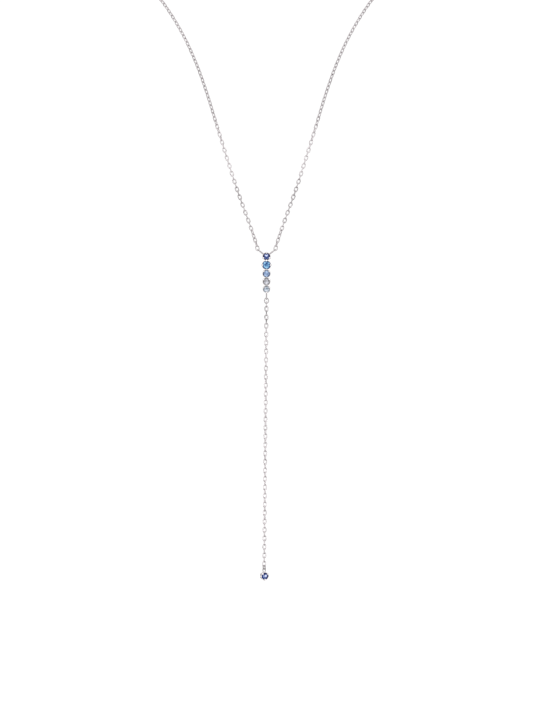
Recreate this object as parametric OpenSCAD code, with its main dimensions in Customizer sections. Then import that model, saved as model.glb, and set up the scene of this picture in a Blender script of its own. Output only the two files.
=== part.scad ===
// A drop necklace as it is worn, in millimetres.
// The origin is at the nape, on the side of the chain that lies on the neck.
// +Z is up, the stones face -Y, and the wearer's neck stands inside the loop.

/* [Neck] */
// Depth of the top stone below the nape
front_drop = 139; // [138:0.5:140]
// Distance of the drop in front of the nape
front_reach = 100; // [99:0.5:101]

/* [Chain] */
// Length of a link over its wire
link_len = 1.87; // [1.84:0.01:1.9]
// Width of a link over its wire
link_w = 1.2; // [1.1:0.05:1.25]
// Thickness of a link's wire
wire_d = 0.24; // [0.2:0.01:0.25]
// Clear gap between two linked wires
link_gap = 0.115; // [0.1:0.005:0.13]
// Links on each side of the neck that are made one by one
front_links = 66; // [20:1:70]
// Thickness of the tube that stands for the chain behind them
tube_d = 1.1; // [0.9:0.05:1.2]

/* [Stones] */
// Diameter of stone 1 at the top of the bar
stone_1_d = 2.16; // [2.1:0.02:2.2]
// Diameter of stone 2
stone_2_d = 2.5; // [2.4:0.02:2.6]
// Diameter of stone 3
stone_3_d = 2.16; // [2.1:0.02:2.2]
// Diameter of stone 4
stone_4_d = 2.1; // [2:0.02:2.2]
// Diameter of stone 5
stone_5_d = 1.96; // [1.9:0.02:2]
// Diameter of the stone at the foot of the drop
end_stone_d = 2.16; // [2.1:0.02:2.2]
// Gap between a stone and its setting
seat_gap = 0.05; // [0.04:0.01:0.06]

/* [Setting] */
// Width of the rim round a stone
rim_w = 0.15; // [0.13:0.01:0.17]
// Depth of a collet behind its stone's girdle
collet_depth = 1.1; // [1.05:0.05:1.2]
// Thickness of a claw
claw_d = 0.34; // [0.3:0.02:0.36]
// Overlap of two collets that are soldered together
solder = 0.05; // [0.04:0.01:0.08]
// Thickness of the wire of an eye
eye_wire = 0.28; // [0.26:0.01:0.3]
// Reach of the two top eyes from the middle of stone 1
top_eye_reach = 3.56; // [3.5:0.02:3.6]
// Angle of a top eye from straight up, in degrees
top_eye_angle = 51.5; // [48:0.5:54]
// Reach of the bottom eye from the middle of stone 5
bottom_eye_reach = 3.25; // [3.15:0.05:3.3]

/* [Drop] */
// Links in the drop chain
drop_links = 62; // [4:2:62]
// Lean of the drop chain from upright, in degrees
drop_lean = 0.5; // [0:0.1:0.6]
// Outer diameter of the ring above the drop chain
jump_ring_d = 1.88; // [1.84:0.02:1.92]
// Turn of that ring about the vertical, in degrees
jump_ring_turn = 40; // [30:5:45]
// Outer diameter of the ring below the drop chain
end_ring_d = 1.54; // [1.5:0.02:1.6]
// Turn of the ring below the drop chain, in degrees
end_ring_turn = 125; // [115:5:130]
// Thickness of the wire of both rings
ring_wire = 0.3; // [0.26:0.01:0.32]
// Reach of the eye above the end stone from the stone's middle
end_eye_reach = 2.56; // [2.5:0.02:2.6]
// Turn of the end setting about the vertical, in degrees
end_turn = 24; // [15:1:30]

/* [Clasp] */
// Outer diameter of the spring ring
clasp_d = 5.5; // [5.3:0.1:5.7]
// Thickness of the spring ring
clasp_wire = 1; // [0.9:0.05:1.1]
// Outer diameter of the ring that the clasp holds
clasp_ring_d = 2.9; // [2.8:0.05:3]

/* [Hidden] */

silver = [0.8, 0.79, 0.78];
round_sides = 32;

// Chain
pitch = link_len - 2 * wire_d - link_gap;
bow = (link_len - wire_d) / 2;

// Clear gap between any two other pieces that are linked, wider at the jump ring, which stands askew
ring_gap = 0.12;
askew_gap = 0.18;

// Length by which a cut runs past a face
past = 1;

// Stones, as shares of the diameter
table_share = 0.56;
crown_share = 0.15;
pavilion_share = 0.43;
girdle_share = 0.03;
// Stones, as shares of the radius
star_share = 0.8;
lower_share = 0.3;

// Setting: heights are measured from a stone's girdle towards the viewer
mid_depth = -0.5;
rim_top = 0.08;
taper_from = -0.35;
taper = 0.12;
bore_wall = 0.25;
claw_foot = -0.95;
claw_out = 0.07;
claw_tip_d = 0.58;
claw_tip_top = 0.42;
claw_bevel = 0.06;
window_d = 0.45;
window_h = -0.65;
eye_w = 1.25;
end_eye_w = 1.1;
eye_seat = 0.22;
foot_w = 0.5;
eye_room = 1;

// Column 1: diameter. Column 2: angles of the claws from straight up. Column 3: angles of the windows
// One more claw stands on each joint of two collets and holds both stones
bar_stones = [
  [stone_1_d, [0, 117, 243], [90, 270]],
  [stone_2_d, [90, 270], [45, 135, 225, 315]],
  [stone_3_d, [50, 310], [90, 270]],
  [stone_4_d, [55, 305], [90, 270]],
  [stone_5_d, [60, 180, 300], [90, 270]]
];
end_claws = [50, 180, 310];
end_windows = [120, 240];

stone_colors = [
  [0.12, 0.17, 0.52], [0.25, 0.5, 0.82], [0.5, 0.62, 0.82], [0.68, 0.68, 0.74], [0.66, 0.7, 0.8]
];
end_stone_color = [0.13, 0.18, 0.55];

// Heights along the drop, from stone 1 down
function collet_r(d) = d / 2 + rim_w;
function stone_down(i) = i == 0 ? 0
  : stone_down(i - 1) + collet_r(bar_stones[i - 1][0]) + collet_r(bar_stones[i][0]) - solder;
last_stone_down = stone_down(4);
jump_ring_r = (jump_ring_d - ring_wire) / 2;
end_ring_r = (end_ring_d - ring_wire) / 2;
bottom_eye_down = last_stone_down + bottom_eye_reach - eye_wire / 2;
jump_ring_down = bottom_eye_down - eye_wire / 2 - ring_wire / 2 - askew_gap + jump_ring_r;
first_link_down = jump_ring_down + jump_ring_r - ring_wire / 2 - wire_d / 2 - askew_gap + bow;
chain_end_down = (drop_links - 1) * pitch + bow;
end_ring_down = chain_end_down - wire_d / 2 - ring_wire / 2 - ring_gap + end_ring_r;
end_stone_down = end_ring_down + end_ring_r - ring_wire / 2 - eye_wire - ring_gap + end_eye_reach;

// The lowest neck link's bow under the top eye's wire, from the middle of stone 1, and its slope there
hang_slope = 0.25;
hang_step = eye_wire / 2 + wire_d / 2 + ring_gap;
hang_x = (top_eye_reach - eye_wire / 2) * sin(top_eye_angle) - hang_step * hang_slope;
hang_z = (top_eye_reach - eye_wire / 2) * cos(top_eye_angle) - hang_step;

// Clasp: distances along X from the middle of the spring ring
clasp_r = (clasp_d - clasp_wire) / 2;
clasp_ring_wire = 0.4;
clasp_ring_r = (clasp_ring_d - clasp_ring_wire) / 2;
clasp_ring_x = clasp_r - clasp_wire / 2 - clasp_ring_wire / 2 - ring_gap + clasp_ring_r;
chain_end_x = clasp_ring_x + clasp_ring_r - clasp_ring_wire / 2 - wire_d / 2 - ring_gap + bow;
clasp_eye_wire = 0.36;
clasp_eye_r = 0.62;
clasp_eye_x = chain_end_x - bow + wire_d / 2 + ring_gap + clasp_eye_wire / 2 - clasp_eye_r;
clasp_nub_d = 0.8;
clasp_nub_out = 1.1;
clasp_nub_angle = 55;
nape_y = tube_d / 2;

// Centre line of one side of the neck chain, from the nape: X to the side, Y to the back, Z up.
// It starts in the eye on the bar and ends at the clasp.
route = concat(
  [[hang_x, -front_reach, hang_z - front_drop]],
  [
    [2.9, -99.75, -135.8], [3.55, -99.4, -133.7], [5.15, -98.6, -129], [8.75, -96.9, -119],
    [11.95, -95.2, -109], [15.05, -93.5, -99], [18.1, -91.7, -89], [21.5, -89.7, -79.5],
    [25.6, -87, -70.5], [30.9, -83.2, -61.5], [37.2, -77.8, -53], [43.6, -70.6, -45],
    [49.2, -61.2, -37], [53, -50.3, -29.5], [54.2, -39, -22.3], [51.8, -28.2, -15.6],
    [46, -18.7, -9.9], [37.6, -10.8, -5.4], [27.3, -5, -2.5], [16, -1, -0.8], [10, 0.3, -0.2]
  ],
  [[chain_end_x, nape_y, 0]]
);
route_steps = 8;
tube_sides = 8;
tube_rings = 38;

// Half of the stretch of the centre line over which its direction is taken
heading_step = 0.3;

// Twist of the links about the chain. Column 1: millimetres from the eye. Column 2: degrees
neck_twist = [[0, 5], [0.8, 5], [8.5, 90], [32, 98], [38, 115], [46, 135], [90, 135]];
drop_twist = [[0, 0], [8, 4], [20, 14], [50, 18], [70, 12], [80, 6]];

function spline(p, i, t) =
  let (a = p[max(i - 1, 0)], b = p[i], c = p[i + 1], d = p[min(i + 2, len(p) - 1)])
  0.5 * (2 * b + (c - a) * t + (2 * a - 5 * b + 4 * c - d) * t * t + (3 * b - a - 3 * c + d) * t * t * t);

path = concat(
  [for (i = [0:len(route) - 2], k = [0:route_steps - 1]) spline(route, i, k / route_steps)],
  [route[len(route) - 1]]
);
path_run = [
  for (i = 0, s = 0; i < len(path); s = s + (i < len(path) - 1 ? norm(path[i + 1] - path[i]) : 0), i = i + 1) s
];
path_x = [for (i = [0:len(path) - 1]) [path_run[i], path[i].x]];
path_y = [for (i = [0:len(path) - 1]) [path_run[i], path[i].y]];
path_z = [for (i = [0:len(path) - 1]) [path_run[i], path[i].z]];
path_len = path_run[len(path) - 1];

// Point, direction and outward normal of the neck chain's centre line after s millimetres
function at(s) = [lookup(s, path_x), lookup(s, path_y), lookup(s, path_z)];
function unit(v) = v / norm(v);
function heading(s) = unit(at(min(s + heading_step, path_len)) - at(max(s - heading_step, 0)));
function normal_to(t) = unit([0, -1, 0] + t.y * t);

back_from = bow + front_links * pitch;
back_to = path_len;

// One oval of wire in the XZ plane, round the origin, longest along Z
module loop(length, width, wire) {
  r = (width - wire) / 2;
  straight = (length - width) / 2;
  for (turn = [0, 180])
    rotate([0, turn, 0])
      translate([0, 0, straight])
        rotate([90, 0, 0])
          rotate_extrude(angle = 180, $fn = round_sides)
            translate([r, 0]) circle(d = wire, $fn = round_sides);
  for (x = [-r, r])
    translate([x, 0, -straight]) cylinder(d = wire, h = 2 * straight, $fn = round_sides);
}

// One round ring in the XZ plane
module ring(outer_d, wire) {
  rotate([90, 0, 0])
    rotate_extrude($fn = round_sides)
      translate([(outer_d - wire) / 2, 0]) circle(d = wire, $fn = round_sides);
}

module link() {
  loop(link_len, link_w, wire_d);
}

// A link of the neck chain after s millimetres, turned about the chain
module neck_link(s, turn) {
  p = at(s);
  t = heading(s);
  n = normal_to(t);
  x = cross(n, t);
  multmatrix([[x.x, n.x, t.x, p.x], [x.y, n.y, t.y, p.y], [x.z, n.z, t.z, p.z], [0, 0, 0, 1]])
    rotate([0, 0, turn]) link();
}

module neck_chain_front() {
  for (i = [0:front_links - 1]) {
    s = bow + i * pitch;
    neck_link(s, 90 * (i % 2) + lookup(s, neck_twist));
  }
}

function tube_ring(s) =
  let (p = at(s), t = heading(s), n = normal_to(t), x = cross(n, t))
  [for (k = [0:tube_sides - 1])
    p + tube_d / 2 * (cos(360 * k / tube_sides) * x + sin(360 * k / tube_sides) * n)];

// The stretch that lies round the neck and behind it, as a tube with a link at each end
module neck_chain_back(end_turn) {
  points = [
    for (i = [0:tube_rings - 1])
      each tube_ring(back_from + (back_to - back_from) * i / (tube_rings - 1))
  ];
  first_cap = [for (k = [0:tube_sides - 1]) k];
  last_cap = [for (k = [tube_sides - 1:-1:0]) (tube_rings - 1) * tube_sides + k];
  walls = [
    for (i = [0:tube_rings - 2], k = [0:tube_sides - 1])
      let (a = i * tube_sides + k, b = i * tube_sides + (k + 1) % tube_sides)
      each [[a, a + tube_sides, b], [b, a + tube_sides, b + tube_sides]]
  ];
  polyhedron(points, concat([first_cap], walls, [last_cap]));
  neck_link(back_from, 90 * (front_links % 2) + lookup(back_from, neck_twist));
  neck_link(back_to, end_turn);
}

module clasp() {
  color(silver) translate([0, nape_y, 0]) {
    ring(clasp_d, clasp_wire);
    translate([-clasp_eye_x, 0, 0]) ring(2 * clasp_eye_r + clasp_eye_wire, clasp_eye_wire);
    rotate([0, -clasp_nub_angle, 0])
      translate([clasp_r, 0, 0])
        rotate([0, 90, 0]) cylinder(d = clasp_nub_d, h = clasp_nub_out, $fn = round_sides);
  }
}

module clasp_ring() {
  color(silver) translate([clasp_ring_x, nape_y, 0]) rotate([90, 0, 0]) ring(clasp_ring_d, clasp_ring_wire);
}

// In a setting's own frame +Z faces the viewer, +Y is up and the stone's girdle is at height 0

function round_of(n, r, h, from) =
  [for (k = [0:n - 1]) [r * cos(from + 360 * k / n), r * sin(from + 360 * k / n), h]];

// Height, on the plane of a main facet, of a point between two such facets
function facet_height(r, from, to) =
  from[1] + (r * cos(22.5) - from[0]) * (to[1] - from[1]) / (to[0] - from[0]);

// Round brilliant: 8 table edges, 8 stars, 8 kites, 16 upper halves, 16 lower halves, 8 mains
module brilliant(d) {
  r = d / 2;
  girdle = girdle_share * d / 2;
  table_edge = [r * table_share, girdle + crown_share * d];
  tip = [0, -girdle - pavilion_share * d];
  star = star_share * r;
  lower = lower_share * r;
  points = concat(
    round_of(8, table_edge[0], table_edge[1], 0),
    round_of(8, star, facet_height(star, table_edge, [r, girdle]), 22.5),
    round_of(16, r, girdle, 0),
    round_of(16, r, -girdle, 0),
    round_of(8, lower, facet_height(lower, tip, [r, -girdle]), 22.5),
    [[0, 0, tip[1]]]
  );
  faces = concat(
    [[for (k = [7:-1:0]) k]],
    [for (k = [0:7]) [k, (k + 1) % 8, 8 + k]],
    [for (k = [0:7]) [k, 8 + k, 16 + 2 * k, 8 + (k + 7) % 8]],
    [for (k = [0:7]) [8 + k, 17 + 2 * k, 16 + 2 * k]],
    [for (k = [0:7]) [8 + k, 16 + (2 * k + 2) % 16, 17 + 2 * k]],
    [for (k = [0:15]) [16 + k, 16 + (k + 1) % 16, 32 + (k + 1) % 16, 32 + k]],
    [for (k = [0:7]) [32 + 2 * k, 33 + 2 * k, 48 + k]],
    [for (k = [0:7]) [33 + 2 * k, 32 + (2 * k + 2) % 16, 48 + k]],
    [for (k = [0:7]) [48 + (k + 7) % 8, 32 + 2 * k, 48 + k, 56]]
  );
  polyhedron(points, faces);
}

// Room for a stone, with the gap all round
module pocket(d) {
  r = d / 2;
  girdle = girdle_share * d / 2;
  rotate_extrude($fn = round_sides)
    polygon([
      [0, -girdle - pavilion_share * d - seat_gap],
      [r + seat_gap, -girdle - seat_gap / 2],
      [r + seat_gap, girdle + seat_gap / 2],
      [r * table_share + seat_gap, girdle + crown_share * d + seat_gap],
      [0, girdle + crown_share * d + seat_gap]
    ]);
}

// A claw: a post with a flat, bevelled tip at the given distance from the stone's middle
module claw(reach) {
  translate([0, reach + claw_out, claw_foot])
    cylinder(d = claw_d, h = claw_tip_top / 2 - claw_foot, $fn = round_sides);
  translate([0, reach, 0])
    rotate_extrude($fn = round_sides)
      polygon([
        [0, 0], [claw_tip_d / 2, 0], [claw_tip_d / 2, claw_tip_top - claw_bevel],
        [claw_tip_d / 2 - claw_bevel, claw_tip_top], [0, claw_tip_top]
      ]);
}

module collet(d, claws) {
  r = collet_r(d);
  rotate_extrude($fn = round_sides)
    polygon([[0, -collet_depth], [r - taper, -collet_depth], [r, taper_from], [r, rim_top], [0, rim_top]]);
  for (angle = claws)
    rotate([0, 0, -angle]) claw(d / 2);
}

// What is cut from a collet: the stone's room, the bore behind it and the windows between the claws
module collet_cuts(d, windows) {
  pocket(d);
  translate([0, 0, -collet_depth - past])
    cylinder(r = collet_r(d) - taper - bore_wall, h = collet_depth + past, $fn = round_sides);
  for (angle = windows)
    rotate([0, 0, -angle])
      translate([0, 0, window_h])
        rotate([-90, 0, 0]) cylinder(d = window_d, h = collet_r(d) + past, $fn = round_sides);
}

// An eye of wire that reaches out from a collet's wall, flat or on edge
// On edge it has a foot between its sides
module eye(d, reach, width, flat) {
  inner = collet_r(d) - eye_seat;
  translate([0, (inner + reach) / 2, mid_depth])
    rotate([0, flat ? 0 : 90, 0])
      rotate([-90, 0, 0]) loop(reach - inner, width, eye_wire);
  if (!flat)
    translate([-foot_w / 2, inner, mid_depth - (width - eye_wire) / 2])
      cube([foot_w, reach - eye_room - inner, width - eye_wire]);
}

// Puts a setting's own frame at the drop's place, d millimetres below stone 1
module facing(down) {
  translate([0, -front_reach, -front_drop - down])
    rotate([90, 0, 0])
      translate([0, 0, -mid_depth]) children();
}

module bar_setting() {
  color(silver) difference() {
    union() {
      for (i = [0:4])
        facing(stone_down(i)) collet(bar_stones[i][0], bar_stones[i][1]);
      for (i = [0:3])
        facing(stone_down(i)) rotate([0, 0, 180]) claw(collet_r(bar_stones[i][0]) - solder / 2);
      for (side = [-1, 1])
        facing(0) rotate([0, 0, side * top_eye_angle]) eye(stone_1_d, top_eye_reach, eye_w, false);
      facing(last_stone_down) rotate([0, 0, 180]) eye(stone_5_d, bottom_eye_reach, eye_w, false);
    }
    for (i = [0:4])
      facing(stone_down(i)) collet_cuts(bar_stones[i][0], bar_stones[i][2]);
  }
}

module bar_stone(i) {
  color(stone_colors[i]) facing(stone_down(i)) brilliant(bar_stones[i][0]);
}

// Puts an upright frame on the drop, d millimetres below stone 1
module hanging(down) {
  translate([0, -front_reach, -front_drop - down]) children();
}

module jump_ring() {
  color(silver) hanging(jump_ring_down) rotate([0, 0, jump_ring_turn]) ring(jump_ring_d, ring_wire);
}

// What hangs below the jump ring leans with the drop chain; down is measured from the first link
module leaning(down) {
  hanging(first_link_down) rotate([0, drop_lean, 0]) translate([0, 0, -down]) children();
}

module drop_chain() {
  color(silver)
    for (i = [0:drop_links - 1])
      leaning(i * pitch) rotate([0, 0, 90 * ((i + 1) % 2) + lookup(i * pitch, drop_twist)]) link();
}

module end_ring() {
  color(silver) leaning(end_ring_down) rotate([0, 0, end_ring_turn]) ring(end_ring_d, ring_wire);
}

module end_frame() {
  leaning(end_stone_down)
    rotate([0, 0, end_turn]) rotate([90, 0, 0]) translate([0, 0, -mid_depth]) children();
}

module end_setting() {
  color(silver) end_frame() difference() {
    union() {
      collet(end_stone_d, end_claws);
      eye(end_stone_d, end_eye_reach, end_eye_w, true);
    }
    collet_cuts(end_stone_d, end_windows);
  }
}

module end_stone() {
  color(end_stone_color) end_frame() brilliant(end_stone_d);
}

color(silver) mirror([1, 0, 0]) neck_chain_front();  // neck_chain_front_left
color(silver) neck_chain_front();  // neck_chain_front_right
color(silver) mirror([1, 0, 0]) neck_chain_back(90);  // neck_chain_back_left
color(silver) neck_chain_back(0);  // neck_chain_back_right
clasp();
clasp_ring();
bar_setting();
bar_stone(0);  // stone_1
bar_stone(1);  // stone_2
bar_stone(2);  // stone_3
bar_stone(3);  // stone_4
bar_stone(4);  // stone_5
jump_ring();
drop_chain();
end_ring();
end_setting();
end_stone();
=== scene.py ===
"""Looks of a drop necklace: oval cable chain, a bar of five round stones and a long drop to one more."""

import math

import bpy
import numpy as np
from bpy.props import FloatProperty, FloatVectorProperty, IntProperty, PointerProperty
from bpy.types import Operator, Panel, PropertyGroup
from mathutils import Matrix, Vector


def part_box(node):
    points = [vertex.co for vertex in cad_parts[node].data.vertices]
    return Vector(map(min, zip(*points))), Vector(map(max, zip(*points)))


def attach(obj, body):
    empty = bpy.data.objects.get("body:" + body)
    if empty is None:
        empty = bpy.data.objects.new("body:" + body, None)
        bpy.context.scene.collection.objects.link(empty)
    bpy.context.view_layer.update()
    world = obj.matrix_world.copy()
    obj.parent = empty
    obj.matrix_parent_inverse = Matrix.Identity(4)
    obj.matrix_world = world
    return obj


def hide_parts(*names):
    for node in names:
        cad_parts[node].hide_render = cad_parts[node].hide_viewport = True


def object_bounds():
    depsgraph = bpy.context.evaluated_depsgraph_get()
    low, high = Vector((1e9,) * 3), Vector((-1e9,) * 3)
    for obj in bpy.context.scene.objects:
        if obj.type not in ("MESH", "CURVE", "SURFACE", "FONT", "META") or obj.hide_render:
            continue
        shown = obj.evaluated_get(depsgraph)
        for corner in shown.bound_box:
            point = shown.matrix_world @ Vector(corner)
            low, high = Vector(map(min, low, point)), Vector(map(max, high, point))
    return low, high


bl_info = {
    "name": "Drop necklace",
    "version": (1, 0, 0),
    "blender": (4, 5, 0),
    "location": "3D View > Sidebar > Necklace",
    "description": "Chains, settings, stones and stage of a drop necklace around its CAD frame",
    "category": "Object",
}

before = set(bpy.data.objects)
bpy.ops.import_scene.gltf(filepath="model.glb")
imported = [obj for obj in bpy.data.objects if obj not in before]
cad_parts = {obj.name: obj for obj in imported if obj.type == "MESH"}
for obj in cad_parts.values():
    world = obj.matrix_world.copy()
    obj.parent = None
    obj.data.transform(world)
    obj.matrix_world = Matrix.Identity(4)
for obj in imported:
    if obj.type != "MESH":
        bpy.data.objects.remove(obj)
CAD_LOW, CAD_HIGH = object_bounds()
MM = 0.001

# Centre line of one side of the neck chain, in millimetres: X to the side, Y to the back, Z up.
# It starts in the eye on the bar and ends at the clasp.
ROUTE = (
    (2.582, -100, -137.251), (2.9, -99.75, -135.8), (3.55, -99.4, -133.7), (5.15, -98.6, -129),
    (8.75, -96.9, -119), (11.95, -95.2, -109), (15.05, -93.5, -99), (18.1, -91.7, -89),
    (21.5, -89.7, -79.5), (25.6, -87, -70.5), (30.9, -83.2, -61.5), (37.2, -77.8, -53),
    (43.6, -70.6, -45), (49.2, -61.2, -37), (53, -50.3, -29.5), (54.2, -39, -22.3),
    (51.8, -28.2, -15.6), (46, -18.7, -9.9), (37.6, -10.8, -5.4), (27.3, -5, -2.5),
    (16, -1, -0.8), (10, 0.3, -0.2), (4.305, 0.55, 0),
)
# Steps of the curve from one point of the route to the next
ROUTE_STEPS = 8
# The chain's heading is read this many millimetres before and after a place
HEADING_STEP = 0.3

# Twist of the links about the chain: millimetres along it, then degrees
NECK_TWIST = ((0, 5), (0.8, 5), (8.5, 90), (32, 98), (38, 115), (46, 135), (90, 135))
DROP_TWIST = ((0, 0), (8, 4), (20, 14), (50, 18), (70, 12), (80, 6))
# Millimetres from link to link, and the length and wire of the frame's own links
PITCH = 1.275
FRAME_LINK = 1.87
FRAME_WIRE = 0.24
# Links of a strand that keep the pitch; behind them it is eased so that whole links reach the clasp
FRONT_LINKS = 66
# Links of the drop chain
DROP_LINKS = 62
# Turn of each strand's last link in degrees, and the millimetres of chain over which its links come to it
END_TURNS = {"left": 90, "right": 0}
END_STRETCH = 40
# Lean of the drop, whose foot hangs a little to the left
DROP_LEAN = math.radians(0.5)
# Form of a link, from 0 with straight sides to 1 for an ellipse
OVALNESS = 0.7
# Wire in metres and ovalness of the link in the bar's eye, which is slimmer so that the bar can swing on it
EYE_LINK = (0.00027, 0.35)

# Stone nodes, with the names of their colours and the patches of painted highlight and painted shade where
# their facets would gather or lose light.
# A patch: its place across and up and its size in radii, and how much lighter it is
STONES = (
    ("stone_1", "royal", (
        (-0.32, 0.34, 0.3, 0.4), (0.28, 0.34, 0.3, 0.4), (0.0, 0.12, 0.34, 0.5), (0, -0.38, 0.3, -0.15),
        (-0.78, 0.2, 0.4, -0.3), (0.76, 0.2, 0.4, -0.3), (-0.5, -0.62, 0.3, 0.12), (0.5, -0.62, 0.3, 0.12),
    )),
    ("stone_2", "bright", (
        (-0.42, 0.55, 0.4, 0.5), (0.66, 0.45, 0.34, 0.5), (0.02, 0.38, 0.29, -0.75),
        (-0.26, 0.05, 0.36, -0.25), (-0.56, -0.28, 0.3, 0.35), (0.08, -0.64, 0.42, 0.4),
        (0.62, -0.2, 0.3, 0.2), (-0.84, -0.46, 0.3, -0.4), (0.86, -0.4, 0.3, -0.45),
        (-0.67, 0.17, 0.24, 0.25), (-0.3, -0.6, 0.28, 0.25), (0, -0.97, 0.3, 0.8), (0, 0.85, 0.28, 0.4),
    )),
    ("stone_3", "light", (
        (0, 0.5, 0.46, 0.4), (-0.82, -0.14, 0.36, -0.3), (-0.46, -0.44, 0.32, 0.3), (0, -0.93, 0.42, 0.95),
        (0.3, -0.1, 0.36, -0.15), (0.6, -0.5, 0.3, -0.2), (0.88, 0.3, 0.3, 0.4), (-0.25, 0.3, 0.25, -0.2),
    )),
    ("stone_4", "grey", (
        (0.08, -0.3, 0.32, 0.45), (0, -0.9, 0.42, 0.9), (0.6, 0.2, 0.32, -0.3), (-0.85, 0, 0.32, -0.4),
        (-0.3, 0.15, 0.4, -0.22), (0.1, 0.72, 0.3, 0.2), (0.92, -0.1, 0.28, 0.35),
    )),
    ("stone_5", "pale", (
        (0.02, 0.22, 0.34, -0.4), (-0.4, 0.5, 0.32, 0.25), (-0.1, -0.5, 0.45, 0.35), (0.9, -0.1, 0.36, 0.35),
        (-0.85, 0.1, 0.32, -0.35), (0.35, 0.2, 0.3, -0.25), (0.4, -0.85, 0.4, 0.6), (0.35, 0.85, 0.34, 0.4),
    )),
    ("end_stone", "royal", (
        (0.26, 0.1, 0.4, 0.55), (-0.28, -0.02, 0.32, 0.25), (0, 0.72, 0.44, -0.25), (-0.4, -0.6, 0.34, 0.05),
        (0.7, -0.4, 0.34, -0.2), (0, -0.6, 0.24, 0.2),
    )),
)
# Colours of the darkest and of the lightest facets, which are painted shade and painted highlights
STONE_DARKS = {
    "royal": (0.01, 0.011, 0.07), "bright": (0.01, 0.045, 0.18), "light": (0.06, 0.09, 0.18),
    "grey": (0.2, 0.195, 0.2), "pale": (0.17, 0.22, 0.27),
}
STONE_LIGHTS = {
    "royal": (0.7, 0.76, 1.0), "bright": (0.4, 0.67, 0.88), "light": (0.5, 0.64, 0.86),
    "grey": (0.8, 0.81, 0.84), "pale": (0.7, 0.74, 0.8),
}
# Tones at which a stone has its dark colour of painted shade, its body colour and its light colour of painted
# highlight
STONE_TONES = (0.1, 0.45, 1.0)
# Tone of the painted light over the middle of a stone, out to this many radii, and of the painted shade that
# it falls to at the rim
TABLE_TONE = 0.43
TABLE_REACH = 0.64
RIM_TONE = -0.12
# Change of tone from facet to facet, painted as light and shade by where a facet faces
FACET_TONE = 0.1
FACET_FACING = (23.0, 3.0, 31.0)
# Painted light and shade in the star of facets, with its spokes and its rings
STAR_TONE = 0.12
STAR_SPOKES = 8.0
STAR_RINGS = 11.0
# Share of a patch's size within which it is full
PATCH_FULL = 0.3
# Finish of every stone, by the names of the shader's inputs
STONE_POLISH = {"Roughness": 0.04, "IOR": 1.77, "Specular IOR Level": 0.12}

# Each setting: its turn about the upright, the painted brightness of its silver, which makes it a lighter or
# darker copy of the one silver, and spots of painted highlight and painted shade.
# A spot: its stone, its angle from straight up in degrees, its distance from the stone's middle in radii,
# its distance in front of the drop's axis and its reach, both in millimetres, and its brightness
SETTINGS = {
    "bar_setting": (0.0, 0.72, (
        ("stone_1", 0, 1, 0.8, 0.26, 0.7), ("stone_1", 117, 0.93, 0.8, 0.21, 1.0),
        ("stone_1", 243, 0.93, 0.8, 0.21, 1.0), ("stone_1", 180, 1.14, 0.8, 0.28, 1.0),
        ("stone_2", 90, 0.97, 0.8, 0.24, 0.85), ("stone_2", 270, 0.97, 0.8, 0.24, 0.85),
        ("stone_2", 180, 1.24, 0.8, 0.36, 0.5), ("stone_3", 50, 1, 0.8, 0.25, 0.75),
        ("stone_3", 310, 1, 0.8, 0.25, 0.75), ("stone_3", 180, 1.24, 0.8, 0.42, 0.33),
        ("stone_4", 55, 1, 0.8, 0.25, 0.9), ("stone_4", 305, 1, 0.8, 0.25, 0.9),
        ("stone_4", 180, 1.24, 0.8, 0.36, 0.4), ("stone_5", 60, 1, 0.8, 0.25, 0.7),
        ("stone_5", 300, 1, 0.8, 0.25, 0.6), ("stone_5", 180, 1, 0.8, 0.3, 0.75),
        ("stone_5", 180, 2.3, 0.5, 1.15, 0.7),
    )),
    "end_setting": (math.radians(24), 1.2, (
        ("end_stone", 50, 1, 0.8, 0.25, 0.6), ("end_stone", 180, 1, 0.8, 0.25, 0.95),
        ("end_stone", 310, 1, 0.8, 0.25, 0.95), ("end_stone", 90, 1.07, 0.7, 0.4, 0.25),
        ("end_stone", 0, 1.75, 0.0, 0.75, 0.38), ("end_stone", 285, 1.1, 0.1, 0.3, 0.35),
    )),
}
# Share of a spot's reach within which it is full, and the colour of its painted highlight, which its
# brightness scales down to painted shade
SPOT_FULL = 0.8
PAINTED_SPOT_SILVER = (0.98, 0.95, 0.955)
# Painted shade on the chains' silver along their height: millimetres up, then the share of the full silver
# colour that is left
CHAIN_SHADE_BY_HEIGHT = (
    (-230, 0.9), (-206, 0.98), (-200, 0.92), (-187, 0.98), (-162, 1.0), (-160, 0.85), (-150, 0.8),
    (-131, 0.8), (-127.5, 0.72), (-124, 0.8), (-120.2, 0.62), (-116.6, 0.8), (-113, 0.98), (-102, 0.97),
    (-98, 0.82), (-85, 0.73), (-70, 0.84),
)
# Painted brightness of the chains' silver, a lighter copy of the one silver
CHAIN_PAINTED_BRIGHTNESS = 1.2
# Painted shade on the first links below the bar: where it lies and its reach in millimetres, then its
# brightness
DROP_PAINTED_SHADE = (
    ((-0.5, -100, -154.6), 0.42, 0.5), ((0, -100.5, -155.8), 0.5, 0.42),
    ((-0.5, -100, -157), 0.45, 0.35), ((0, -100.5, -158.3), 0.6, 0.35),
)
# Painted brightness of the silver of the rings and the clasp, lighter or darker copies of the one silver
RING_NODES = {"jump_ring": 0.9, "end_ring": 0.7, "clasp": 1.0, "clasp_ring": 1.0}

# Fineness of the polishing marks on each kind of piece, of the worn places and of the dents
CHAIN_MARKS = 9000.0
SETTING_MARKS = 14000.0
RING_MARKS = 6000.0
WORN_PLACES = 900.0
DENT_PLACES = 1800.0
# Most of a noise lies between these levels
NOISE_LOW, NOISE_HIGH = 0.3, 0.7
# How much of the worn tone shows at most, and how bright it is
WORN_SHARE = 0.35
WORN_TONE = 0.93
# How far a crevice looks round itself, and how open it is where its tarnish and painted shade are full and
# where there is none
CREVICE_REACH = 0.28 * MM
CREVICE_OPEN = (0.35, 0.85)
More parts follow.
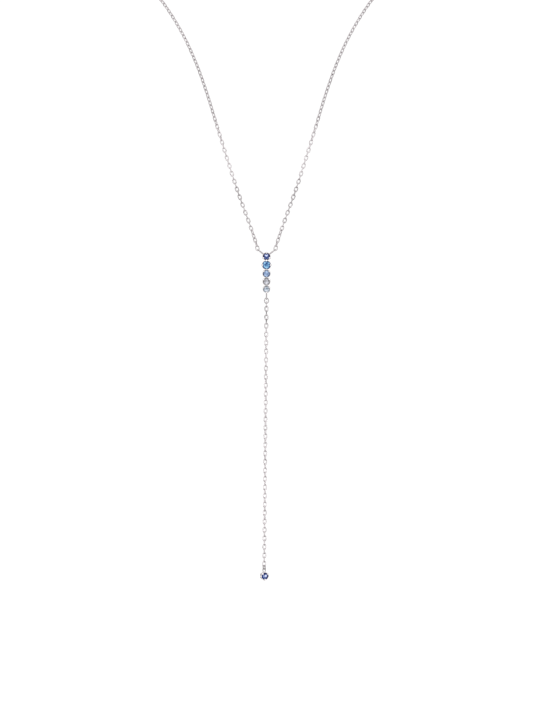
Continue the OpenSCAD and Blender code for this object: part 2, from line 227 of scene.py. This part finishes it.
# Roughness on the smoothest and on the roughest marks, as shares of the metal's roughness
MARK_ROUGHNESS = (0.75, 1.4)
# Strength of the marks' relief, and its depth in metres
MARK_STRENGTH = 0.12
MARK_DEPTH = 0.01 * MM
# Edges of the metal that turn by less than this are shaded smooth
SMOOTH_TURN = math.radians(35)

# What the metal and the stones reflect: the upward part of a direction, then a grey level; and its tint
ROOM_TONES = ((-1.0, 0.42), (-0.6, 0.44), (-0.2, 0.42), (0.02, 0.34), (0.25, 0.55), (0.6, 0.9), (1.0, 0.95))
ROOM_TINT = (1.0, 0.975, 0.985)
# The room's white as soft light, and as the camera sees it
WHITE_ROOM = 1.3
WHITE_WALL = 1.03

# The photograph's rows of pixels, and the millimetres that a pixel covers on the plane of the drop
PHOTO_ROWS = 709
PIXEL = 0.3
# Camera, in metres: how much of that plane's height it sees, the middle of that, the plane and the way to it
FRAME_HEIGHT = PHOTO_ROWS * PIXEL * MM
FRAME_MIDDLE = -168.4 * MM
FRONT_PLANE = -0.1
CAMERA_BACK = 0.7
NEAREST, FARTHEST = 0.01, 100
# Width of its sensor in millimetres
SENSOR = 36.0

# Place along Y of the lights behind the camera
BEHIND_CAMERA = FRONT_PLANE - 0.9
# Lights: the setting with the power, then the width and height, the place and the point aimed at, in metres
LIGHTS = {
    "key": ("key_power", (0.7, 0.35), (-0.25, -0.95, 0.35), (0, FRONT_PLANE, -0.17)),
    "front": ("front_power", (0.35, 0.17), (0, BEHIND_CAMERA, -0.045), (0, FRONT_PLANE, -0.045)),
    "low": ("low_power", (0.35, 0.25), (0, BEHIND_CAMERA, -0.255), (0, FRONT_PLANE, -0.255)),
    "side_left": ("side_power", (0.6, 0.14), (-0.246, -0.272, -0.248), (0, FRONT_PLANE, -0.248)),
    "side_right": ("side_power", (0.6, 0.14), (0.246, -0.272, -0.248), (0, FRONT_PLANE, -0.248)),
    "end": ("end_power", (0.12, 0.08), (-0.225, 0.17, -0.261), (0, FRONT_PLANE, -0.23)),
}
# Half the floor's width in metres, then the fineness of its paper and the tone of the paper's darker places
FLOOR_HALF = 12.0
PAPER_PLACES = 40.0
PAPER_TONE = 0.985
PAPER_ROUGHNESS = 0.9


class ChainSettings(PropertyGroup):
    """Sizes of the chains' links"""

    link_length: FloatProperty(
        name="Link length", description="Length of a link over its wire",
        default=0.00192, unit="LENGTH", precision=5,
    )
    link_width: FloatProperty(
        name="Link width", description="Width of a link over its wire",
        default=0.00127, unit="LENGTH", precision=5,
    )
    wire: FloatProperty(
        name="Wire", description="Thickness of a link's wire",
        default=0.00031, unit="LENGTH", precision=5,
    )
    bow_segments: IntProperty(
        name="Bow segments", description="Segments in each rounded end of a link",
        default=11, min=6, max=16,
    )
    wire_sides: IntProperty(
        name="Wire sides", description="Sides round the wire",
        default=10, min=6, max=14,
    )
    play: FloatProperty(
        name="Play", description="Largest random turn of a link about the chain",
        default=math.radians(3), subtype="ANGLE",
    )


class MetalSettings(PropertyGroup):
    """Colour and polish of the silver"""

    color: FloatVectorProperty(
        name="Silver", description="Colour of the polished silver",
        default=(0.79, 0.755, 0.765), size=3, subtype="COLOR", min=0, max=1,
    )
    # Tarnish and painted shade where pieces meet, laid on where the ambient occlusion finds a crevice
    tarnish_and_shade: FloatVectorProperty(
        name="Tarnish", description="Colour of the silver where pieces meet",
        default=(0.7, 0.67, 0.68), size=3, subtype="COLOR", min=0, max=1,
    )
    dents: FloatProperty(
        name="Dents", description="Depth of the soft dents in the chains' wire",
        default=0.00025, unit="LENGTH", precision=5,
    )
    roughness: FloatProperty(
        name="Roughness", description="Roughness of the polish",
        default=0.16, min=0, max=1,
    )


class StoneSettings(PropertyGroup):
    """Colours and clarity of the stones"""

    royal: FloatVectorProperty(
        name="Royal blue", description="Body colour of the top and end stones",
        default=(0.012, 0.048, 0.22), size=3, subtype="COLOR", min=0, max=1,
    )
    bright: FloatVectorProperty(
        name="Bright blue", description="Body colour of the second stone",
        default=(0.07, 0.22, 0.42), size=3, subtype="COLOR", min=0, max=1,
    )
    light: FloatVectorProperty(
        name="Light blue", description="Body colour of the third stone",
        default=(0.23, 0.33, 0.52), size=3, subtype="COLOR", min=0, max=1,
    )
    grey: FloatVectorProperty(
        name="Grey", description="Body colour of the fourth stone",
        default=(0.4, 0.41, 0.46), size=3, subtype="COLOR", min=0, max=1,
    )
    pale: FloatVectorProperty(
        name="Pale blue grey", description="Body colour of the fifth stone",
        default=(0.42, 0.47, 0.54), size=3, subtype="COLOR", min=0, max=1,
    )
    clarity: FloatProperty(
        name="Clarity", description="Share of light that passes through a stone",
        default=0.12, min=0, max=1, subtype="FACTOR",
    )


class StageSettings(PropertyGroup):
    """Floor and lights"""

    floor: FloatVectorProperty(
        name="Floor", description="Colour of the floor",
        default=(0.88, 0.88, 0.88), size=3, subtype="COLOR", min=0, max=1,
    )
    drop_to_floor: FloatProperty(
        name="Room below", description="Gap between the foot of the drop and the floor",
        default=0.06, unit="LENGTH",
    )
    key_power: FloatProperty(
        name="Key light", description="Power of the large light above the camera",
        default=0.7, unit="POWER",
    )
    side_power: FloatProperty(
        name="Side lights", description="Power of each light beside the drop",
        default=0.21, unit="POWER",
    )
    front_power: FloatProperty(
        name="Front light", description="Power of the light behind the camera",
        default=0.187, unit="POWER",
    )
    end_power: FloatProperty(
        name="End light", description="Power of the small light behind the end stone",
        default=0.027, unit="POWER",
    )
    low_power: FloatProperty(
        name="Low light", description="Power of the low light behind the camera",
        default=0.227, unit="POWER",
    )


def catmull(a, b, c, d, t):
    """Point of a smooth curve between b and c, at the share t of the way."""
    bend, twist = 2 * a - 5 * b + 4 * c - d, 3 * b - a - 3 * c + d
    return 0.5 * (2 * b + (c - a) * t + bend * t * t + twist * t ** 3)


class ChainPath:
    """Centre line of one side of the neck chain, looked up by the millimetres run from the bar's eye."""

    def __init__(self):
        route = np.array(ROUTE, float)
        last = len(route) - 1
        points = [
            catmull(route[max(i - 1, 0)], route[i], route[i + 1], route[min(i + 2, last)], k / ROUTE_STEPS)
            for i in range(last)
            for k in range(ROUTE_STEPS)
        ]
        self.points = np.array(points + [route[last]])
        steps = np.linalg.norm(np.diff(self.points, axis=0), axis=1)
        self.run = np.concatenate([[0], np.cumsum(steps)])
        self.length = self.run[-1]

    def at(self, s):
        """Point of the line after s millimetres."""
        return np.array([np.interp(s, self.run, self.points[:, axis]) for axis in range(3)])

    def frame_at(self, s):
        """Columns: across the chain, out of its plane and along it."""
        along = self.at(min(s + HEADING_STEP, self.length)) - self.at(max(s - HEADING_STEP, 0))
        along /= np.linalg.norm(along)
        out = np.array([0.0, -1.0, 0.0]) + along[1] * along
        out /= np.linalg.norm(out)
        return np.column_stack([np.cross(out, along), out, along])


def twist_at(s, table):
    """Twist in radians, s millimetres along the chain."""
    return math.radians(np.interp(s, [row[0] for row in table], [row[1] for row in table]))


def turn_z(angle):
    """Matrix of a turn about the upright, in radians."""
    c, s = math.cos(angle), math.sin(angle)
    return np.array([[c, -s, 0], [s, c, 0], [0, 0, 1.0]])


def turn_y(angle):
    """Matrix of a turn about the line from front to back, in radians."""
    c, s = math.cos(angle), math.sin(angle)
    return np.array([[c, 0, s], [0, 1.0, 0], [-s, 0, c]])


def link_mesh(chain, wire, ovalness):
    """Points and quads of one closed link in millimetres, longest along Z, flat in the XZ plane."""
    wire_r = wire / MM / 2
    half_w = chain.link_width / MM / 2 - wire_r
    half_l = chain.link_length / MM / 2 - wire_r
    straight = half_l - half_w
    # The wire's centre line lies between two round bows with straight sides and an ellipse of the same size
    arc = np.linspace(0, math.pi, chain.bow_segments + 1)
    angles = np.concatenate([arc, arc + math.pi])
    side = np.where(np.arange(len(angles)) <= chain.bow_segments, 1.0, -1.0)
    stadium = np.column_stack([half_w * np.cos(angles), half_w * np.sin(angles) + side * straight])
    oval_angles = np.arctan2(stadium[:, 1] / half_l, stadium[:, 0] / half_w)
    oval = np.column_stack([half_w * np.cos(oval_angles), half_l * np.sin(oval_angles)])
    centre = (1 - ovalness) * stadium + ovalness * oval
    ahead = np.roll(centre, -1, axis=0) - np.roll(centre, 1, axis=0)
    ahead /= np.linalg.norm(ahead, axis=1)[:, None]
    outward = np.column_stack([ahead[:, 1], -ahead[:, 0]])
    sides = chain.wire_sides
    points, quads = [], []
    for i, (p, n) in enumerate(zip(centre, outward)):
        j = (i + 1) % len(centre)
        for k in range(sides):
            angle = 2 * math.pi * k / sides
            out, up = wire_r * math.cos(angle), wire_r * math.sin(angle)
            points.append((p[0] + out * n[0], up, p[1] + out * n[1]))
            m = (k + 1) % sides
            quads.append((i * sides + k, j * sides + k, j * sides + m, i * sides + m))
    return np.array(points), np.array(quads)


def chain_object(name, chain, places, first_link=None, mirrored=False):
    """One mesh of all the links, each set by its rotation and its middle; the first may have its own wire."""
    points, quads = link_mesh(chain, chain.wire, OVALNESS)
    first_points = link_mesh(chain, *first_link)[0] if first_link else points
    rng = np.random.default_rng(len(places))
    all_points, all_quads = [], []
    for i, (rotation, middle) in enumerate(places):
        play = turn_z(rng.uniform(-chain.play, chain.play))
        shape = points if i else first_points
        all_points.append((rotation @ play @ shape.T).T + middle)
        all_quads.append(quads + i * len(points))
    verts = np.vstack(all_points) * MM
    faces = np.vstack(all_quads)
    if mirrored:
        verts[:, 0] *= -1
        faces = faces[:, ::-1]
    mesh = bpy.data.meshes.new(name)
    mesh.from_pydata(verts.tolist(), [], faces.tolist())
    mesh.polygons.foreach_set("use_smooth", [True] * len(faces))
    mesh.update()
    mesh.validate()
    obj = bpy.data.objects.new(name, mesh)
    bpy.context.scene.collection.objects.link(obj)
    return obj


def neck_places(end_turn):
    """Places of one strand's links, which turn over its last stretch until the last one has its end turn."""
    path = ChainPath()
    # Way to the middle of the first link, whose bow starts where the path does
    first = (FRAME_LINK - FRAME_WIRE) / 2
    count = round((path.length - first) / PITCH)
    pitch_back = (path.length - first - FRONT_LINKS * PITCH) / (count - FRONT_LINKS)
    left_over = end_turn - 90 * (count % 2) - NECK_TWIST[-1][1]
    left_over -= 180 * round(left_over / 180)
    easing = ((0, 0), (path.length - END_STRETCH, 0), (path.length, left_over))
    places = []
    for i in range(count + 1):
        s = first + min(i, FRONT_LINKS) * PITCH + max(i - FRONT_LINKS, 0) * pitch_back
        turn = math.pi / 2 * (i % 2) + twist_at(s, NECK_TWIST) + twist_at(s, easing)
        places.append((path.frame_at(s) @ turn_z(turn), path.at(s)))
    return places


def drop_places():
    """Places of the drop chain's links, from the top down."""
    top_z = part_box("drop_chain")[1].z / MM
    top = np.array([0.0, FRONT_PLANE / MM, top_z - FRAME_LINK / 2])
    lean = turn_y(DROP_LEAN)
    places = []
    for i in range(DROP_LINKS):
        turn = math.pi / 2 * ((i + 1) % 2) + twist_at(i * PITCH, DROP_TWIST)
        places.append((lean @ turn_z(turn), top + lean @ np.array([0, 0, -i * PITCH])))
    return places


def on_axis(z):
    """Point of the drop's axis at a height; it leans from the top of the drop chain down."""
    below = max(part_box("drop_chain")[1].z - z, 0)
    return Vector((-below * math.tan(DROP_LEAN), FRONT_PLANE, z))


def painted_spot(middle, reach, level):
    """Middle, reach and colour of a spot of painted highlight and shade; the reach comes in millimetres."""
    return middle, reach * MM, [c * level for c in PAINTED_SPOT_SILVER]


def setting_painted_spots(turn, painted_spots):
    """The spots of painted highlight and shade on a setting that is turned about the upright."""
    facing = Vector((math.sin(turn), -math.cos(turn), 0))
    found = []
    for stone, angle, out, ahead, reach, level in painted_spots:
        low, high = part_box(stone)
        a = math.radians(angle)
        way = Vector((math.sin(a) * math.cos(turn), math.sin(a) * math.sin(turn), math.cos(a)))
        middle = on_axis((low.z + high.z) / 2) + ahead * MM * facing + (high.z - low.z) / 2 * out * way
        found.append(painted_spot(middle, reach, level))
    return found


def rgba(color):
    """The colour, opaque."""
    return (*color[:3], 1.0)


class Nodes:
    """Short calls for making the nodes of a material or a world."""

    def __init__(self, owner, shader="ShaderNodeBsdfPrincipled", output="ShaderNodeOutputMaterial"):
        self.owner = owner
        owner.use_nodes = True
        self.tree = owner.node_tree
        self.tree.nodes.clear()
        self.shader = self.add(shader)
        self.link(self.shader.outputs[0], self.add(output).inputs["Surface"])

    def add(self, kind, **values):
        node = self.tree.nodes.new(kind)
        for key, value in values.items():
            setattr(node, key, value)
        return node

    def link(self, source, target):
        self.tree.links.new(source, target)

    def set(self, node, key, value):
        """Links a socket to an input, or gives the input a value."""
        if isinstance(value, bpy.types.NodeSocket):
            self.link(value, node.inputs[key])
        else:
            node.inputs[key].default_value = value

    def object_point(self):
        return self.add("ShaderNodeTexCoord").outputs["Object"]

    def axes(self, vector):
        node = self.add("ShaderNodeSeparateXYZ")
        self.link(vector, node.inputs[0])
        return node.outputs

    def vector(self, operation, a, b, result="Vector"):
        """Works on a vector a with b, which is a vector too, or a number where it scales."""
        node = self.add("ShaderNodeVectorMath", operation=operation)
        self.link(a, node.inputs[0])
        self.set(node, "Scale" if operation == "SCALE" else 1, b)
        return node.outputs[result]

    def math(self, operation, *values):
        node = self.add("ShaderNodeMath", operation=operation)
        for i, value in enumerate(values):
            self.set(node, i, value)
        return node.outputs[0]

    def span(self, value, low, high, to_low, to_high):
        """Maps low to high onto to_low to to_high, and stays within them."""
        node = self.add("ShaderNodeMapRange")
        self.set(node, "Value", value)
        self.set(node, "From Min", low)
        self.set(node, "From Max", high)
        self.set(node, "To Min", to_low)
        self.set(node, "To Max", to_high)
        return node.outputs["Result"]

    def mix(self, factor, a, b):
        """Colour a where the factor is 0, and b where it is 1."""
        node = self.add("ShaderNodeMix", data_type="RGBA")
        for i, value in ((0, factor), (6, a), (7, b)):
            self.set(node, i, value)
        return node.outputs[2]

    def noise(self, vector, scale, detail):
        node = self.add("ShaderNodeTexNoise")
        self.set(node, "Vector", vector)
        self.set(node, "Scale", scale)
        self.set(node, "Detail", detail)
        return node.outputs["Fac"]

    def ramp(self, value, stops):
        """A colour ramp; each stop is a place and a colour."""
        node = self.add("ShaderNodeValToRGB")
        self.link(value, node.inputs[0])
        found = node.color_ramp.elements
        found[0].position, found[0].color = stops[0][0], rgba(stops[0][1])
        found[-1].position, found[-1].color = stops[-1][0], rgba(stops[-1][1])
        for place, color in stops[1:-1]:
            found.new(place).color = rgba(color)
        return node.outputs["Color"]

    def bump(self, height, strength, distance):
        """The node itself, because another relief's normal can be linked to it."""
        node = self.add("ShaderNodeBump")
        self.set(node, "Strength", strength)
        self.set(node, "Distance", distance)
        self.set(node, "Height", height)
        return node


def painted_shade_by_height(n, point, table):
    """The table's level at each height."""
    low, high = table[0][0] * MM, table[-1][0] * MM
    height = n.span(n.axes(point)["Z"], low, high, 0.0, 1.0)
    return n.ramp(height, [((z * MM - low) / (high - low), (level, level, level)) for z, level in table])


def silver_material(name, marks, painted_brightness, painted_spots=(), polish=(), dents=0.0):
    """Polished silver with fine polishing marks; tarnish and painted shade where pieces touch, a painted
    brightness, painted shade in bands by height, and spots of painted highlight and painted shade.
    """
    metal = bpy.context.scene.necklace_metal
    n = Nodes(bpy.data.materials.new(name))
    point = n.object_point()
    broad = n.noise(point, WORN_PLACES, detail=3.0)
    fine = n.noise(point, marks, detail=4.0)
    shade = n.add("ShaderNodeAmbientOcclusion", samples=6)
    n.set(shade, "Distance", CREVICE_REACH)
    worn = n.span(broad, NOISE_LOW, NOISE_HIGH, 0.0, WORN_SHARE)
    # Where pieces meet: tarnish, and painted shade from the ambient occlusion
    crevice = n.span(shade.outputs["AO"], *CREVICE_OPEN, 1.0, 0.0)
    # The painted brightness makes this piece a lighter or darker copy of the one silver
    color = [min(1.0, c * painted_brightness) for c in metal.color]
    lit = n.mix(worn, rgba(color), rgba([c * WORN_TONE for c in color]))
    # Painted shade in bands along the height, from the polish table
    if polish:
        lit = n.mix(painted_shade_by_height(n, point, polish), rgba((0, 0, 0)), lit)
    # Spots of painted highlight and painted shade
    for middle, reach, tone in painted_spots:
        away = n.vector("DISTANCE", point, middle, "Value")
        lit = n.mix(n.span(away, SPOT_FULL * reach, reach, 1.0, 0.0), lit, rgba(tone))
    n.set(n.shader, "Base Color", n.mix(crevice, lit, rgba(metal.tarnish_and_shade)))
    n.set(n.shader, "Metallic", 1.0)
    smoothest, roughest = [metal.roughness * share for share in MARK_ROUGHNESS]
    n.set(n.shader, "Roughness", n.span(fine, NOISE_LOW, NOISE_HIGH, smoothest, roughest))
    bump = n.bump(fine, MARK_STRENGTH, MARK_DEPTH)
    if dents:
        soft = n.bump(n.noise(point, DENT_PLACES, detail=1.0), strength=1.0, distance=dents)
        n.link(soft.outputs["Normal"], bump.inputs["Normal"])
    n.set(n.shader, "Normal", bump.outputs["Normal"])
    return n.owner


def stone_material(name, node, shades, painted_patches):
    """A cut stone: each facet has its own painted shade, and patches of painted highlight and painted shade
    stand for facets that gather or lose light.
    """
    n = Nodes(bpy.data.materials.new(name))
    low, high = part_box(node)
    middle, radius = (low + high) / 2, (high.z - low.z) / 2
    face = n.axes(n.vector("SCALE", n.vector("SUBTRACT", n.object_point(), middle), 1 / radius))
    across, up = face["X"], face["Z"]

    def away(x, z):
        dx, dz = n.math("SUBTRACT", across, x), n.math("SUBTRACT", up, z)
        return n.math("SQRT", n.math("ADD", n.math("MULTIPLY", dx, dx), n.math("MULTIPLY", dz, dz)))

    # Painted light and shade: a star over the facets, a tone for each facet by where it faces, a lighter
    # middle, a darker rim and the patches
    reach = away(0.0, 0.0)
    spokes = n.math("SINE", n.math("MULTIPLY", n.math("ARCTAN2", across, up), STAR_SPOKES))
    rings = n.math("SINE", n.math("MULTIPLY", reach, STAR_RINGS))
    star = n.math("MULTIPLY", n.math("MULTIPLY", spokes, rings), STAR_TONE)
    normal = n.add("ShaderNodeNewGeometry").outputs["True Normal"]
    facets = n.math("SINE", n.vector("DOT_PRODUCT", normal, FACET_FACING, "Value"))
    tone = n.math("ADD", n.math("MULTIPLY", facets, FACET_TONE), star)
    tone = n.math("ADD", tone, n.span(reach, TABLE_REACH, 1.0, TABLE_TONE, RIM_TONE))
    for x, z, size, lift in painted_patches:
        tone = n.math("ADD", tone, n.span(away(x, z), PATCH_FULL * size, size, lift, 0.0))
    # The ramp turns the painted tone into dark facets of painted shade, the body colour and light facets of
    # painted highlight
    n.set(n.shader, "Base Color", n.ramp(tone, list(zip(STONE_TONES, shades))))
    for key, value in STONE_POLISH.items():
        n.set(n.shader, key, value)
    n.set(n.shader, "Transmission Weight", bpy.context.scene.necklace_stones.clarity)
    return n.owner


def finish_cad(node, material, smooth):
    """Gives a CAD node its finish; rounded metal is shaded smooth across its flatter edges."""
    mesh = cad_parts[node].data
    mesh.materials.clear()
    mesh.materials.append(material)
    mesh.polygons.foreach_set("material_index", [0] * len(mesh.polygons))
    if smooth:
        mesh.polygons.foreach_set("use_smooth", [True] * len(mesh.polygons))
        mesh.set_sharp_from_angle(angle=SMOOTH_TURN)


class NECKLACE_OT_neck_chain(Operator):
    """Makes the neck chain's two strands link by link, from the bar's eyes to the clasp"""

    bl_idname = "necklace.neck_chain"
    bl_label = "Neck chain"

    def execute(self, context):
        scene = context.scene
        dents = scene.necklace_metal.dents
        # Painted shade on the first links below the bar
        painted_spots = [painted_spot(MM * Vector(middle), reach, level) for middle, reach, level in DROP_PAINTED_SHADE]
        material = silver_material("chain_silver", CHAIN_MARKS, CHAIN_PAINTED_BRIGHTNESS, painted_spots, CHAIN_SHADE_BY_HEIGHT, dents)
        for side, end_turn in END_TURNS.items():
            places, mirrored = neck_places(end_turn), side == "left"
            strand = chain_object("neck_chain_" + side, scene.necklace_chain, places, EYE_LINK, mirrored)
            strand.data.materials.append(material)
            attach(strand, "neck")
            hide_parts("neck_chain_front_" + side, "neck_chain_back_" + side)
        return {"FINISHED"}


class NECKLACE_OT_drop_chain(Operator):
    """Makes the long chain below the bar link by link"""

    bl_idname = "necklace.drop_chain"
    bl_label = "Drop chain"

    def execute(self, context):
        drop = chain_object("drop_chain_links", context.scene.necklace_chain, drop_places())
        drop.data.materials.append(bpy.data.materials["chain_silver"])
        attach(drop, "drop")
        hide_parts("drop_chain")
        return {"FINISHED"}


class NECKLACE_OT_settings(Operator):
    """Finishes the bar's setting and the end stone's setting in polished silver"""

    bl_idname = "necklace.settings"
    bl_label = "Settings"

    def execute(self, context):
        for node, (turn, painted_brightness, painted_spots) in SETTINGS.items():
            silver = silver_material(node + "_silver", SETTING_MARKS, painted_brightness, setting_painted_spots(turn, painted_spots))
            finish_cad(node, silver, smooth=True)
        return {"FINISHED"}


class NECKLACE_OT_rings(Operator):
    """Finishes the clasp and the rings in polished silver"""

    bl_idname = "necklace.rings"
    bl_label = "Clasp and rings"

    def execute(self, context):
        for node, painted_brightness in RING_NODES.items():
            finish_cad(node, silver_material(node + "_silver", RING_MARKS, painted_brightness), smooth=True)
        return {"FINISHED"}


class NECKLACE_OT_stones(Operator):
    """Finishes the six cut stones"""

    bl_idname = "necklace.stones"
    bl_label = "Stones"

    def execute(self, context):
        stones = context.scene.necklace_stones
        for node, shade, painted_patches in STONES:
            shades = (STONE_DARKS[shade], getattr(stones, shade), STONE_LIGHTS[shade])
            finish_cad(node, stone_material(node + "_" + shade, node, shades, painted_patches), smooth=False)
        return {"FINISHED"}


def studio_world():
    """White for the eye, brighter for soft light; reflections see a grey room that is darker below."""
    world = bpy.data.worlds.new("studio")
    bpy.context.scene.world = world
    n = Nodes(world, "ShaderNodeBackground", "ShaderNodeOutputWorld")
    direction = n.add("ShaderNodeTexCoord").outputs["Generated"]
    height = n.span(n.axes(direction)["Z"], -1.0, 1.0, 0.0, 1.0)
    room = n.ramp(height, [((z + 1) / 2, [level * tint for tint in ROOM_TINT]) for z, level in ROOM_TONES])
    ray = n.add("ShaderNodeLightPath").outputs
    soft = n.math("MAXIMUM", ray["Is Camera Ray"], ray["Is Diffuse Ray"])
    white = n.span(ray["Is Camera Ray"], 0.0, 1.0, WHITE_ROOM, WHITE_WALL)
    n.set(n.shader, "Color", n.mix(soft, room, white))


def make_floor(stage):
    """A wide floor of pale paper below the drop, which reflections don't see."""
    mesh = bpy.data.meshes.new("floor")
    z = CAD_LOW.z - stage.drop_to_floor
    corners = [(x * FLOOR_HALF, y * FLOOR_HALF, z) for x, y in ((-1, -1), (1, -1), (1, 1), (-1, 1))]
    mesh.from_pydata(corners, [], [(0, 1, 2, 3)])
    floor = bpy.data.objects.new("floor", mesh)
    bpy.context.scene.collection.objects.link(floor)
    n = Nodes(bpy.data.materials.new("floor_paper"))
    places = n.noise(n.object_point(), PAPER_PLACES, detail=2.0)
    darker = rgba([c * PAPER_TONE for c in stage.floor])
    n.set(n.shader, "Base Color", n.mix(places, rgba(stage.floor), darker))
    n.set(n.shader, "Roughness", PAPER_ROUGHNESS)
    n.set(n.shader, "Specular IOR Level", 0.0)
    mesh.materials.append(n.owner)
    floor.visible_glossy = False


def area_light(name, power, size, place, target):
    """A rectangle of light that the camera doesn't see, aimed at a point."""
    data = bpy.data.lights.new(name, "AREA")
    data.shape = "RECTANGLE"
    data.size, data.size_y = size
    data.energy = power
    light = bpy.data.objects.new(name, data)
    light.visible_camera = False
    bpy.context.scene.collection.objects.link(light)
    light.location = place
    aim = Vector(target) - Vector(place)
    light.rotation_euler = aim.to_track_quat("-Z", "Y").to_euler()


def make_camera():
    """The camera, level and straight ahead, which sees the photograph's frame."""
    scene = bpy.context.scene
    camera = bpy.data.objects.new("camera", bpy.data.cameras.new("camera"))
    scene.collection.objects.link(camera)
    camera.data.sensor_width = SENSOR
    camera.data.lens = SENSOR * CAMERA_BACK / FRAME_HEIGHT
    camera.data.clip_start, camera.data.clip_end = NEAREST, FARTHEST
    camera.location = (0, FRONT_PLANE - CAMERA_BACK, FRAME_MIDDLE)
    camera.rotation_euler = (math.pi / 2, 0, 0)
    scene.camera = camera


class NECKLACE_OT_stage(Operator):
    """Makes the pale floor, the studio light and the camera"""

    bl_idname = "necklace.stage"
    bl_label = "Stage"

    def execute(self, context):
        stage = context.scene.necklace_stage
        studio_world()
        make_floor(stage)
        for name, (power, size, place, target) in LIGHTS.items():
            area_light(name, getattr(stage, power), size, place, target)
        make_camera()
        context.scene.view_settings.view_transform = "Standard"
        return {"FINISHED"}


class NECKLACE_PT_panel(Panel):
    """Lists the necklace's pieces and their settings"""

    bl_label = "Necklace"
    bl_idname = "NECKLACE_PT_panel"
    bl_space_type = "VIEW_3D"
    bl_region_type = "UI"
    bl_category = "Necklace"

    def draw(self, context):
        for key in PIECES:
            self.layout.operator("necklace." + key)
        for group in GROUPS:
            box = self.layout.box()
            settings = getattr(context.scene, group)
            for name in settings.bl_rna.properties.keys():
                if name not in ("rna_type", "name"):
                    box.prop(settings, name)


PIECES = ("neck_chain", "drop_chain", "settings", "rings", "stones", "stage")
GROUPS = {
    "necklace_chain": ChainSettings,
    "necklace_metal": MetalSettings,
    "necklace_stones": StoneSettings,
    "necklace_stage": StageSettings,
}
OPERATORS = (
    NECKLACE_OT_neck_chain, NECKLACE_OT_drop_chain, NECKLACE_OT_settings,
    NECKLACE_OT_rings, NECKLACE_OT_stones, NECKLACE_OT_stage,
)


def register():
    for cls in (*GROUPS.values(), *OPERATORS, NECKLACE_PT_panel):
        bpy.utils.register_class(cls)
    for name, cls in GROUPS.items():
        setattr(bpy.types.Scene, name, PointerProperty(type=cls))


def unregister():
    for name in GROUPS:
        delattr(bpy.types.Scene, name)
    for cls in (NECKLACE_PT_panel, *reversed(OPERATORS), *reversed(GROUPS.values())):
        bpy.utils.unregister_class(cls)


def main():
    register()
    for key in PIECES:
        getattr(bpy.ops.necklace, key)()


if __name__ == "__main__":
    main()
